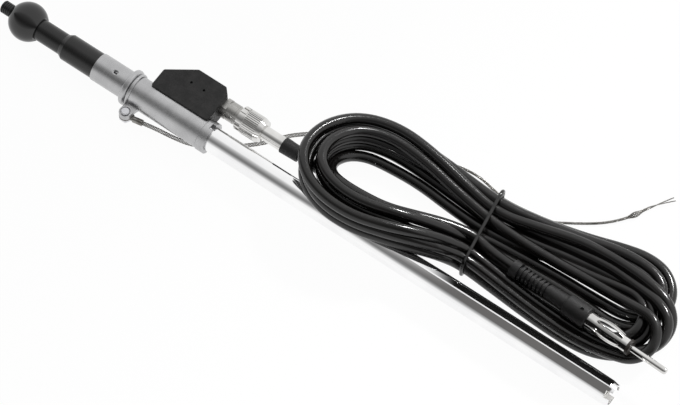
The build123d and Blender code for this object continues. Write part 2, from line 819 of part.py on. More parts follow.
def hank_envelope():
    """Space between the underside and the top of the wound turns."""
    slices = []
    for x, section in hank_sections:
        across = Plane(origin=(x, 0, floor_z), x_dir=(0, 1, 0), z_dir=(1, 0, 0))
        slices.append(across * make_face(Polyline(*section, close=True)))
    return loft(slices, ruled=True)


def plan_prism(points):
    """Upright prism over a smooth closed outline."""
    return Pos(0, 0, 2 * floor_z) * extrude(make_face(Spline(*points, periodic=True)), 6 * ball_r)


def tie_at_waist(shape):
    """A shape drawn across the waist of the hank, moved to the tie's place."""
    across = Plane(origin=(0, 0, 0), x_dir=(0, 1, 0), z_dir=(1, 0, 0))
    return Pos(tie_x, tie_y, tie_z + floor_z) * Rot(Z=tie_turn) * across.location * shape


def tie_band(inner_gap, thick, width):
    """Closed band round the waist, its inside drawn in by a gap."""
    inside = RectangleRounded(tie_inner_w - 2 * inner_gap, tie_inner_h - 2 * inner_gap, tie_round)
    outside = RectangleRounded(tie_inner_w + 2 * thick, tie_inner_h + 2 * thick, tie_round + thick)
    return tie_at_waist(Pos(0, 0, -width / 2) * extrude(outside - inside, width))


def wound_lead():
    """Start of the lead in its boot, the tied hank, the end that runs to the plug, and the tie."""
    tail = plug_place * rod(-tail_len, 0, cable_r)
    hank = plan_prism(hank_outside) - plan_prism(hank_left_loop)
    hank &= hank_envelope()
    hank -= rod(0, 2 * tube_end_x, tube_r + tube_cord_gap)
    boot_room = rod(ferrule_end_x - boot_len, boot_end_x + cord_gap, boot_d / 2 + cord_gap)
    lead_room = rod(ferrule_end_x, lead_end_x, cable_r + cord_gap)
    hank -= Pos(0, socket_y, 0) * (boot_room + lead_room)
    tail_room = rod(-tail_len, 0, cable_r + cord_gap)
    plug_room = rod(-cord_gap, 2 * plug_line.length, grip_d / 2 + cord_gap)
    hank -= plug_place * (tail_room + plug_room)
    hank -= tie_band(cord_gap / 2, 4 * tie_thick, tie_w + 2 * cord_gap)
    pieces["cable_lead"] = Pos(0, socket_y, 0) * rod(lead_start_x, lead_end_x, cable_r)
    pieces["cable_hank"] = hank
    pieces["cable_tail"] = tail
    pieces["cable_tie"] = tie_band(0, tie_thick, tie_w)


# Route of the earth strap from the crimp to its bare end, with heights above the floor
braid_route = [
    (29.4, -6.4, 2.0), (37.9, -3.9, 0.6), (47.9, 2.2, 0.5), (56.6, 9.4, 0.5), (63, 15.8, 0.5),
    (67.9, 23.2, 0.5), (75.4, 30.0, 0.5), (85.4, 37.5, 0.5), (98.4, 45.0, 0.5), (114.4, 51.3, 0.5),
    (131.4, 55.6, 0.5), (146.4, 57.0, 0.5), (159.4, 53.6, 0.5), (170.4, 51.8, 0.5), (182.4, 53.4, 0.5),
    (194.4, 60.8, 0.5), (205.4, 68.6, 0.5), (213, 77.6, 0.5), (217, 86.6, 0.5), (223.4, 95.4, 0.5),
]


def earth_braid():
    """Flat strap swept along straight runs joined by arcs as large as the runs allow."""
    crimp_axis = Vector(cos(radians(crimp_turn)), sin(radians(crimp_turn)), 0)
    start = Vector(ear_x, ear_y, ear_bottom - crimp_d / 2) + crimp_axis * (crimp_start + crimp_tube_len)
    corners = [start, start + crimp_axis * braid_lead_in]
    corners += [Vector(x, y, z + floor_z) for x, y, z in braid_route]
    radii = []
    for before, corner, after in zip(corners, corners[1:], corners[2:]):
        turn = (corner - before).get_angle(after - corner)
        shorter = min((corner - before).length, (after - corner).length)
        radii.append(0.45 * shorter / tan(radians(turn / 2)))
    print("braid radii", [round(radius, 1) for radius in radii])
    path = FilletPolyline(*corners, radius=radii)
    section = Plane(origin=path @ 0, x_dir=(0, 0, 1), z_dir=path % 0) * Rectangle(braid_thick, braid_w)
    strap = sweep(section, path)
    run_volume = braid_thick * braid_w * path.length
    print("braid volume", round(strap.volume, 2), "section times length", round(run_volume, 2))
    pieces["earth_braid"] = strap


telescopic_mast()
mast_tip()
ball_and_neck()
upper_sleeve()
housing()
guide_tubes()
earth_fixing()
connection_box()
feed_and_socket()
coupling_nut()
cable_connector()
aerial_plug()
wound_lead()
earth_braid()

for name, solid in pieces.items():
    export_step(solid, f"parts/{name}.step")
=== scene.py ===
"""Studio scene of a telescopic car aerial with its tied lead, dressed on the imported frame."""
import logging
import math
from dataclasses import dataclass
from enum import Enum
from typing import Any, Optional

import bmesh
import bpy
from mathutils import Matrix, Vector


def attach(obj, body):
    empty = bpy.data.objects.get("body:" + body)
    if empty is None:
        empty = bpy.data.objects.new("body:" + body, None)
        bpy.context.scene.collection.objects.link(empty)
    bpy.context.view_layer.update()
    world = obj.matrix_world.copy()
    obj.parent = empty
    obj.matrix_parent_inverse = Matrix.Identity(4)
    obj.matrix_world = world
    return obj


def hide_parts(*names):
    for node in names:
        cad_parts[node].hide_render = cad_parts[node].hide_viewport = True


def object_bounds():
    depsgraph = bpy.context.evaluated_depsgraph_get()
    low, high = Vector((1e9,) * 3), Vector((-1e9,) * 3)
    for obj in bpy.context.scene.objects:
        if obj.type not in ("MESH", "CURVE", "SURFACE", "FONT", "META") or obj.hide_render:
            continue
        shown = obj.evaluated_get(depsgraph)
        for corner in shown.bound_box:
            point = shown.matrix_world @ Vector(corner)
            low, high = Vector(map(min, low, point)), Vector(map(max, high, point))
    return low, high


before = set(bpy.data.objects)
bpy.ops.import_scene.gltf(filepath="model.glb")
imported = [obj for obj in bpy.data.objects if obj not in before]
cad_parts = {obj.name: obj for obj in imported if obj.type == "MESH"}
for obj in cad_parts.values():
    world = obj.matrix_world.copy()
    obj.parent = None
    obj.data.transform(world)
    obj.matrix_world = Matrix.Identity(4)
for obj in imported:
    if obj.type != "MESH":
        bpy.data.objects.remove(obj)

LOG = logging.getLogger("aerial")
MM = 0.001
CAD_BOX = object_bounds()
FLOOR_Z = CAD_BOX[0].z

UP = Vector((0.0, 0.0, 1.0))
WHITE = (1.0, 1.0, 1.0, 1.0)
# The part of a noise pattern's values that a finish uses, and its finer layers
MARK_SPAN, MARK_DETAIL = (0.3, 0.7), 3.0
CLOUD_SPAN, CLOUD_DETAIL = (0.35, 0.65), 4.0

Point = tuple[float, float, float]
Pair = tuple[float, float]
Names = tuple[str, ...]


def at(x: float, y: float, height: float) -> Vector:
    """Turn a place in millimetres into one in metres.

    Args:
        x: place along the mast.
        y: place across it.
        height: height above the floor.

    Returns:
        The place in the part's frame.
    """
    return Vector((x * MM, y * MM, height * MM + FLOOR_Z))


def linear(colour: str) -> tuple[float, float, float, float]:
    """Turn an sRGB hex colour into linear red, green, blue and alpha.

    Args:
        colour: six hex digits after a hash.

    Returns:
        The four channels as Blender's sockets take them.
    """
    parts = [int(colour[i : i + 2], 16) / 255 for i in (1, 3, 5)]
    channels = [v / 12.92 if v <= 0.04045 else ((v + 0.055) / 1.055) ** 2.4 for v in parts]
    return (channels[0], channels[1], channels[2], 1.0)


def add_node(tree: bpy.types.NodeTree, kind: str, inputs: Optional[dict] = None, **settings: Any) -> bpy.types.Node:
    """Add a node with its settings and links.

    Args:
        tree: the node tree that takes the node.
        kind: the node's type name.
        inputs: a value or an output socket for each input, by its name or number.
        **settings: the node's own properties.

    Returns:
        The new node.
    """
    node = tree.nodes.new(kind)
    for key, value in settings.items():
        setattr(node, key, value)
    for key, value in (inputs or {}).items():
        if isinstance(value, bpy.types.NodeSocket):
            tree.links.new(value, node.inputs[key])
        else:
            node.inputs[key].default_value = value
    return node


def empty_tree(owner: Any) -> bpy.types.NodeTree:
    """Turn on the nodes of a material or world and clear them.

    Args:
        owner: the material or world.

    Returns:
        Its empty node tree.
    """
    owner.use_nodes = True
    owner.node_tree.nodes.clear()
    return owner.node_tree


def math_node(tree: bpy.types.NodeTree, operation: str, *values: Any) -> bpy.types.NodeSocket:
    """Add a math node.

    Args:
        tree: the node tree that takes the node.
        operation: what it works out.
        *values: a number or an output socket for each input.

    Returns:
        The socket of its result.
    """
    return add_node(tree, "ShaderNodeMath", dict(enumerate(values)), operation=operation).outputs[0]


def vector_node(tree: bpy.types.NodeTree, operation: str, inputs: dict) -> bpy.types.NodeSocket:
    """Add a vector math node.

    Args:
        tree: the node tree that takes the node.
        operation: what it works out.
        inputs: a value or an output socket for each input, by its name or number.

    Returns:
        The socket of its vector.
    """
    return add_node(tree, "ShaderNodeVectorMath", inputs, operation=operation).outputs["Vector"]


def range_node(
    tree: bpy.types.NodeTree, value: Any, source: tuple, result: tuple, smooth: bool = False
) -> bpy.types.NodeSocket:
    """Add a node that maps one range of values onto another.

    Args:
        tree: the node tree that takes the node.
        value: the socket that is mapped.
        source: the ends of its range, as numbers or sockets.
        result: what the ends become.
        smooth: whether the change eases in and out.

    Returns:
        The socket of its result.
    """
    ends = zip(("From Min", "From Max", "To Min", "To Max"), (*source, *result))
    kind = "SMOOTHSTEP" if smooth else "LINEAR"
    node = add_node(tree, "ShaderNodeMapRange", {"Value": value, **dict(ends)}, interpolation_type=kind)
    return node.outputs["Result"]


def link_object(name: str, data: Any) -> bpy.types.Object:
    """Put object data into the scene.

    Args:
        name: the object's name.
        data: its mesh, curve, camera or light.

    Returns:
        The new object.
    """
    made = bpy.data.objects.new(name, data)
    bpy.context.scene.collection.objects.link(made)
    return made


def aim(piece: bpy.types.Object, place: Vector, target: Vector) -> None:
    """Put a camera or lamp in its place and turn it to what it looks at.

    Args:
        piece: the camera or lamp.
        place: where it goes, in metres.
        target: what it looks at.
    """
    piece.location = place
    piece.rotation_mode = "QUATERNION"
    piece.rotation_quaternion = (target - place).to_track_quat("-Z", "Y")


class Marks(Enum):
    """How a surface's marks run: the value stretches the pattern along X, Y and Z."""

    GRAIN = (1.0, 1.0, 1.0)
    TURNED = (1.0, 0.03, 0.03)
    DRAWN = (0.02, 1.0, 1.0)


@dataclass(frozen=True)
class Finish:
    """A surface finish: its colours, gloss and the marks of how it was made.

    The two colours mix in soft clouds, and the marks vary the gloss and stand in relief.

    Attributes:
        roughness: how rough it is in the marks' hollows and on their tops.
        mark_mm: how far apart the marks lie.
        relief_mm: how high they stand.
        cloud_mm: how wide the clouds are.
    """

    name: str
    colour: str
    shade: str
    roughness: Pair
    marks: Marks
    mark_mm: float
    relief_mm: float
    metallic: float = 0.0
    specular: float = 0.5
    cloud_mm: float = 9.0

    def material(self) -> bpy.types.Material:
        """Return the finish's material, made on first use."""
        found = bpy.data.materials.get(self.name)
        if found:
            return found
        material = bpy.data.materials.new(self.name)
        tree = empty_tree(material)
        place = add_node(tree, "ShaderNodeTexCoord").outputs["Object"]
        stretched = add_node(tree, "ShaderNodeMapping", {"Vector": place, "Scale": self.marks.value})
        marks = self.noise(tree, stretched.outputs["Vector"], self.mark_mm, MARK_DETAIL)
        clouds = self.noise(tree, place, self.cloud_mm, CLOUD_DETAIL)
        spread = range_node(tree, clouds, CLOUD_SPAN, (0.0, 1.0))
        # The mix node's colour sockets have numbers only: 6 and 7 go in, 2 comes out
        shades = {0: spread, 6: linear(self.colour), 7: linear(self.shade)}
        colour = add_node(tree, "ShaderNodeMix", shades, data_type="RGBA")
        gloss = range_node(tree, marks, MARK_SPAN, self.roughness)
        raised = {"Height": marks, "Distance": self.relief_mm * MM, "Strength": 1.0}
        relief = add_node(tree, "ShaderNodeBump", raised)
        shader = add_node(
            tree,
            "ShaderNodeBsdfPrincipled",
            {
                "Base Color": colour.outputs[2],
                "Roughness": gloss,
                "Normal": relief.outputs["Normal"],
                "Metallic": self.metallic,
                "Specular IOR Level": self.specular,
            },
        )
        add_node(tree, "ShaderNodeOutputMaterial", {"Surface": shader.outputs["BSDF"]})
        return material

    @staticmethod
    def noise(tree: bpy.types.NodeTree, place: Any, size_mm: float, detail: float) -> bpy.types.NodeSocket:
        """Add a noise pattern.

        Args:
            tree: the material's node tree.
            place: the socket of the place that it is read at.
            size_mm: the size of its features.
            detail: how many finer layers it has.

        Returns:
            The socket of its value.
        """
        inputs = {"Vector": place, "Scale": 1 / (size_mm * MM), "Detail": detail}
        return add_node(tree, "ShaderNodeTexNoise", inputs).outputs["Fac"]


# Gloss black phenolic ball, polished in the mould: deep black with clear soft reflections
BALL_GLOSS = Finish("gloss_black_phenolic", "#090808", "#0e0d0d", (0.03, 0.07), Marks.GRAIN, 2.5, 0.002, specular=0.65)
# Satin black moulded neck: the same black with a slightly blurred sheen and faint turning lines
NECK_SATIN = Finish("satin_black_nylon", "#0e0e0e", "#161515", (0.2, 0.3), Marks.TURNED, 0.8, 0.004)
# Black ABS with a spark-eroded texture: a soft even sheen and a fine grain
BOX_ABS = Finish(
    "black_textured_abs", "#0d0d0d", "#222121", (0.34, 0.6), Marks.GRAIN, 0.8, 0.04, specular=0.4, cloud_mm=3.5
)
# Soft black PVC of boots and grips: dull, with a slight bloom
GRIP_PVC = Finish("moulded_black_pvc", "#141414", "#1c1b1b", (0.4, 0.55), Marks.GRAIN, 0.7, 0.012, specular=0.4)
# Extruded black PVC sheath: satin, with long soft highlights and faint handling marks
SHEATH_PVC = Finish("extruded_black_pvc", "#080706", "#0f0d0c", (0.15, 0.26), Marks.GRAIN, 1.6, 0.004, specular=0.55)
# Turned aluminium sleeve: satin grey with fine rings round it
SLEEVE_TURNED = Finish(
    "turned_aluminium", "#b2b2b3", "#bebebf", (0.24, 0.34), Marks.TURNED, 0.4, 0.0015, metallic=1.0
)
# Tumbled zinc die casting: matte grey, slightly mottled, with a fine skin
CAST_ZINC = Finish("tumbled_zinc_casting", "#b2b2b3", "#c0c0c1", (0.28, 0.42), Marks.GRAIN, 0.9, 0.014, metallic=1.0)
# Bright drawn aluminium tube: near mirror, with faint lines along it
TUBE_DRAWN = Finish(
    "bright_drawn_aluminium", "#fbfbfb", "#f3f3f4", (0.03, 0.07), Marks.DRAWN, 0.6, 0.001, metallic=1.0, cloud_mm=20.0
)
# Bright nickel plate: warm mirror with slight waves
NICKEL = Finish("bright_nickel_plate", "#e6e5e3", "#d4d3d1", (0.02, 0.06), Marks.GRAIN, 1.2, 0.003, metallic=1.0)
# Dull nickel of the socket: greyer and rougher than the plated nut
NICKEL_DULL = Finish("dull_nickel_plate", "#a9a8a5", "#bdbcb9", (0.25, 0.4), Marks.TURNED, 0.3, 0.01, metallic=1.0)
# Bright zinc plate on the screw and nut
ZINC_PLATE = Finish("bright_zinc_plate", "#d9d9dc", "#c7c8cc", (0.14, 0.26), Marks.GRAIN, 0.8, 0.006, metallic=1.0)
# Tinned copper wire: soft grey, slightly dull
TINNED = Finish(
    "tinned_copper_wire", "#a5a39f", "#6b6864", (0.22, 0.4), Marks.GRAIN, 0.6, 0.006, metallic=1.0, cloud_mm=4.0
)
# Chrome plate on the mast sections
CHROME = Finish("chrome_plate", "#dcdcde", "#d2d2d5", (0.04, 0.1), Marks.DRAWN, 0.5, 0.001, metallic=1.0)
# Black chromate on the tip
TIP_BLACK = Finish("black_chromate", "#121213", "#1b1b1c", (0.25, 0.4), Marks.TURNED, 0.4, 0.006)
# Bare brass springs and contacts
BRASS = Finish("bare_brass", "#c9a45c", "#b38d48", (0.2, 0.35), Marks.GRAIN, 0.7, 0.005, metallic=1.0)
# Dull brass lock core
LOCK_BRASS = Finish("dull_lock_brass", "#8e7b4c", "#75643c", (0.3, 0.45), Marks.TURNED, 0.4, 0.008, metallic=1.0)
# Natural polythene insulators: near white with a waxy sheen
POLYTHENE = Finish("natural_polythene", "#f6f5f2", "#eeece8", (0.32, 0.42), Marks.GRAIN, 1.0, 0.01)
# Dark brown laminate disc behind the plug's pin
LAMINATE = Finish("dark_laminate", "#241f1b", "#2d2722", (0.4, 0.55), Marks.GRAIN, 0.4, 0.01)


def paint(nodes: Names, finish: Finish) -> None:
    """Give CAD nodes a finish.

    Args:
        nodes: the names of the nodes.
        finish: what they get.
    """
    for name in nodes:
        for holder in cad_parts[name].material_slots:
            holder.material = finish.material()
        LOG.info("%s: %s", name, finish.name)


def bare_spline(name: str, points: list[Vector]) -> bpy.types.Curve:
    """Make a smooth open NURBS curve with these control points.

    Args:
        name: the curve's name.
        points: the route's points in metres.

    Returns:
        The curve, with no bevel.
    """
    curve = bpy.data.curves.new(name, "CURVE")
    curve.dimensions = "3D"
    spline = curve.splines.new("NURBS")
    spline.points.add(len(points) - 1)
    for control, point in zip(spline.points, points):
        control.co = (*point, 1.0)
    spline.order_u = 3
    spline.use_endpoint_u = True
    spline.resolution_u = 8
    return curve


def round_bar(curve: bpy.types.Curve, radius_mm: float, steps: int, finish: Finish) -> None:
    """Give a curve a round section, closed ends and a finish.

    Args:
        curve: the curve.
        radius_mm: the section's radius.
        steps: how finely the section is rounded.
        finish: what it is made of.
    """
    curve.bevel_depth = radius_mm * MM
    curve.bevel_resolution = steps
    curve.use_fill_caps = True
    curve.materials.append(finish.material())


def plain_mesh(source: bpy.types.Object, name: str) -> bpy.types.Mesh:
    """Keep a source's evaluated shape as a plain mesh.

    Args:
        source: the object with its modifiers or bevel.
        name: the mesh's name.

    Returns:
        The mesh.
    """
    graph = bpy.context.evaluated_depsgraph_get()
    made = bpy.data.meshes.new_from_object(source.evaluated_get(graph), depsgraph=graph)
    made.name = name
    return made


def node_tool(name: str, inputs: dict[str, tuple[str, Any]]) -> tuple[bpy.types.NodeTree, Any]:
    """Start a geometry node group with named inputs.

    Args:
        name: the group's name.
        inputs: for each input its socket type and its value to begin with.

    Returns:
        The group and the outputs of its input node.
    """
    tree = bpy.data.node_groups.new(name, "GeometryNodeTree")
    tree.interface.new_socket("Geometry", in_out="INPUT", socket_type="NodeSocketGeometry")
    for label, (kind, value) in inputs.items():
        socket = tree.interface.new_socket(label, in_out="INPUT", socket_type=kind)
        if value is not None:
            socket.default_value = value
    tree.interface.new_socket("Geometry", in_out="OUTPUT", socket_type="NodeSocketGeometry")
    return tree, add_node(tree, "NodeGroupInput").outputs


def close_tool(tree: bpy.types.NodeTree, shape: Any, material: Any) -> None:
    """End a geometry node group with real geometry in one material.

    Args:
        tree: the group.
        shape: the socket of the finished geometry.
        material: the group's material input.
    """
    smooth = add_node(tree, "GeometryNodeSetShadeSmooth", {"Geometry": shape})
    real = add_node(tree, "GeometryNodeRealizeInstances", {"Geometry": smooth.outputs[0]})
    dressed = add_node(tree, "GeometryNodeSetMaterial", {"Geometry": real.outputs[0], "Material": material})
    add_node(tree, "NodeGroupOutput", {0: dressed.outputs[0]})


def grown(name: str, base: bpy.types.Mesh, tree: bpy.types.NodeTree, values: dict[str, Any]) -> bpy.types.Object:
    """Run a node group on a base mesh and keep the result as a plain piece.

    Args:
        name: the piece's name.
        base: what the group starts from.
        tree: the group.
        values: what its inputs get, by their names.

    Returns:
        The finished piece.
    """
    holder = link_object(f"{name}_base", base)
    modifier = holder.modifiers.new(tree.name, "NODES")
    modifier.node_group = tree
    for socket in tree.interface.items_tree:
        if socket.in_out == "INPUT" and socket.name in values:
            modifier[socket.identifier] = values[socket.name]
    made = plain_mesh(holder, name)
    bpy.data.objects.remove(holder)
    return link_object(name, made)


@dataclass
class Head:
    """Ball, neck and the tip of the mast with its lock."""

    gloss: Names = ("ball_head",)
    satin: Names = ("neck_insulator",)
    tip: Names = ("tip_cap",)
    lock: Names = ("lock_core",)

    def dress(self) -> None:
        """Give the head its finishes."""
        paint(self.gloss, BALL_GLOSS)
        paint(self.satin, NECK_SATIN)
        paint(self.tip, TIP_BLACK)
        paint(self.lock, LOCK_BRASS)


@dataclass
class Mast:
    """Telescopic sections, their spring feet and the tubes that they slide in."""

    sections: Names = ("lower_section", "middle_section", "upper_section", "tip_rod")
    springs: Names = ("lower_foot", "middle_foot", "upper_foot", "rod_foot", "contact_tube")
    tube: Names = ("protective_tube",)
    insulators: Names = ("guide_liner", "foot_bush")

    def dress(self) -> None:
        """Give the mast its finishes."""
        paint(self.sections, CHROME)
        paint(self.springs, BRASS)
        paint(self.tube, TUBE_DRAWN)
        paint(self.insulators, POLYTHENE)


@dataclass
class Casting:
    """Sleeve, die-cast housing and the earth screw in its ear."""

    sleeve: Names = ("upper_sleeve",)
    body: Names = ("housing",)
    fixing: Names = ("earth_screw", "earth_nut")
    terminal: Names = ("ring_terminal",)

    def dress(self) -> None:
        """Give the casting its finishes."""
        paint(self.sleeve, SLEEVE_TURNED)
        paint(self.body, CAST_ZINC)
        paint(self.fixing, ZINC_PLATE)
        paint(self.terminal, TINNED)


@dataclass
class ConnectionBox:
    """Moulded box with the coaxial socket in its end."""

    shell: Names = ("box_body", "box_lid")
    feed: Names = ("feed_strip", "socket_contact")
    socket: Names = ("socket_shell",)
    insulator: Names = ("socket_insulator",)

    def dress(self) -> None:
        """Give the box its finishes."""
        paint(self.shell, BOX_ABS)
        paint(self.feed, BRASS)
        paint(self.socket, NICKEL_DULL)
        paint(self.insulator, POLYTHENE)


@dataclass
class LeadConnector:
    """Coupling nut, ferrule and boot at the start of the lead."""

    plated: Names = ("coupling_nut", "cable_ferrule")
    pin: Names = ("connector_pin",)
    insulator: Names = ("connector_insulator",)
    boot: Names = ("cable_boot",)

    def dress(self) -> None:
        """Give the connector its finishes."""
        paint(self.plated, NICKEL)
        paint(self.pin, BRASS)
        paint(self.insulator, POLYTHENE)
        paint(self.boot, GRIP_PVC)


@dataclass
class AerialPlug:
    """Plug at the far end of the lead, in mm along its own axis.

    Attributes:
        start: back end of its axis, with the height above the floor.
        tip: front end of its axis.
        profile: where the barrel starts, swells, is widest, ends its swelling and ends, with the radius there.
        slot: where the middle of the slots lies, half their length and half their width.
        slot_power: how blunt the slots' ends are.
        first_slot: how far the first slot lies from straight up, in degrees towards the near side.
        edge: how far the edges are rounded.
        weld: how near to each other points become one.
        columns: how many faces a leaf has across.
        steps: how many it has along a slot.
    """

    start: Point = (186.4, 24.2, 10.0)
    tip: Point = (266.8, 19.2, 15.0)
    profile: tuple[Pair, ...] = ((40.1, 3.45), (43.3, 3.45), (50.5, 4.4), (57.7, 3.3), (60.9, 3.3))
    slot: Point = (51.1, 6.6, 1.3)
    slots: int = 6
    slot_power: float = 2.6
    first_slot: float = -2.3
    wall: float = 0.45
    edge: float = 0.12
    weld: float = 0.001
    columns: int = 6
    steps: int = 44
    soft: Names = ("strain_relief", "plug_grip")
    pin: Names = ("plug_pin",)
    disc: Names = ("plug_insulator",)

    def radius(self, x: float) -> float:
        """Work out the barrel's radius.

        Args:
            x: a place along the plug.

        Returns:
            The radius there, on one curve through the swelling's three points.
        """
        (_, back), (x0, r0), (x1, r1), (x2, r2), (_, front) = self.profile
        if not x0 < x < x2:
            return back if x <= x0 else front
        return (
            r0 * (x - x1) * (x - x2) / ((x0 - x1) * (x0 - x2))
            + r1 * (x - x0) * (x - x2) / ((x1 - x0) * (x1 - x2))
            + r2 * (x - x0) * (x - x1) / ((x2 - x0) * (x2 - x1))
        )

    def barrel(self) -> bpy.types.Object:
        """Make the barrel of sprung leaves in place of its CAD solid and return it."""
        base = at(*self.start)
        axis = (at(*self.tip) - base).normalized()
        up = (UP - axis * axis.z).normalized()
        near = axis.cross(up)
        middle, half, half_width = self.slot
        along_slot = [middle - half * math.cos(math.pi * step / self.steps) for step in range(self.steps + 1)]
        stations = sorted([self.profile[0][0], self.profile[1][0], *along_slot, self.profile[-1][0]])
        pitch = math.tau / self.slots
        shell = bmesh.new()
        for leaf in range(self.slots):
            grid = []
            for x in stations:
                radius = self.radius(x)
                share = min(1.0, abs(x - middle) / half)
                gap = math.asin(half_width / radius * math.sqrt(1 - share**self.slot_power))
                first = math.radians(self.first_slot) + leaf * pitch + gap
                step = (pitch - 2 * gap) / self.columns
                turns = [first + step * column for column in range(self.columns + 1)]
                ring = [base + (axis * x + (up * math.cos(a) + near * math.sin(a)) * radius) * MM for a in turns]
                grid.append([shell.verts.new(point) for point in ring])
            for lower, upper in zip(grid, grid[1:]):
                for left, right in zip(range(self.columns), range(1, self.columns + 1)):
                    shell.faces.new((lower[left], lower[right], upper[right], upper[left])).smooth = True
        bmesh.ops.remove_doubles(shell, verts=shell.verts, dist=self.weld * MM)
        mesh = bpy.data.meshes.new("barrel_shell")
        shell.to_mesh(mesh)
        shell.free()
        mesh.materials.append(NICKEL.material())
        sheet = link_object("barrel_shell", mesh)
        wall = sheet.modifiers.new("wall", "SOLIDIFY")
        wall.thickness, wall.offset = self.wall * MM, -1.0
        edge = sheet.modifiers.new("edge", "BEVEL")
        edge.width, edge.segments, edge.harden_normals = self.edge * MM, 2, True
        barrel = link_object("barrel_leaves", plain_mesh(sheet, "barrel_leaves"))
        bpy.data.objects.remove(sheet)
        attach(barrel, "base")
        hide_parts("plug_barrel")
        LOG.info("barrel_leaves: %d slots, %s", self.slots, NICKEL.name)
        return barrel

    def build(self) -> list[bpy.types.Object]:
        """Dress the plug and return its pieces."""
        paint(self.soft, GRIP_PVC)
        paint(self.pin, NICKEL)
        paint(self.disc, LAMINATE)
        return [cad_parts[name] for name in (*self.soft, *self.pin, *self.disc)] + [self.barrel()]


class Slot(Enum):
    """A place along the hank's left loop; the value is the place's number in a turn's slots."""

    TOP = 0
    FAR = 1
    END = 2
    NEAR = 3
    LOW = 4


@dataclass(frozen=True)
class Turn:
    """One turn of the hank, in mm from the winding's start with heights above the floor.

    Attributes:
        low: its distance outward and its height where it comes back to the tie.
        right: its points from the tie round the right loop and back.
        slots: for TOP, FAR, END and NEAR its distance outward from the bundle's middle and its height.
        left: its points round the left loop, for a turn that leaves the bundle.
    """

    low: Pair
    right: tuple[Point, ...]
    slots: tuple[Pair, ...] = ()
    left: tuple[Point, ...] = ()


@dataclass(frozen=True)
class Station:
    """A point on the middle of the left loop's bundle, between two slots.

    Attributes:
        x, y: where it is in plan, in mm.
        before, after: the slots that it lies between.
        out_share, rise_share: how much it has of the second slot's distance and height.
    """

    x: float
    y: float
    before: Slot
    after: Slot
    out_share: float = 0.0
    rise_share: float = 0.0


# The bundle's middle just before and just after the left loop, and between them
LOOP_BEFORE, LOOP_AFTER = Vector((159, 42)), Vector((167, 21.6))
LEFT_LOOP = (
    Station(149, 44, Slot.TOP, Slot.FAR, 0.3, 0.3),
    Station(130, 46.6, Slot.TOP, Slot.FAR, 0.75, 0.75),
    Station(112, 47.2, Slot.FAR, Slot.FAR),
    Station(97, 41.5, Slot.FAR, Slot.END, 0.25, 0.25),
    Station(88.5, 29, Slot.FAR, Slot.END, 0.65, 0.65),
    Station(87.8, 15, Slot.END, Slot.END),
    Station(95, 4.5, Slot.END, Slot.NEAR, 0.6, 0.6),
    Station(108, -1, Slot.NEAR, Slot.NEAR),
    Station(123, -1, Slot.NEAR, Slot.NEAR),
    Station(137, 3.7, Slot.NEAR, Slot.LOW, 0.15, 0.05),
    Station(147, 9, Slot.NEAR, Slot.LOW, 0.45, 0.2),
    Station(157, 15.6, Slot.NEAR, Slot.LOW, 0.75, 0.52),
)
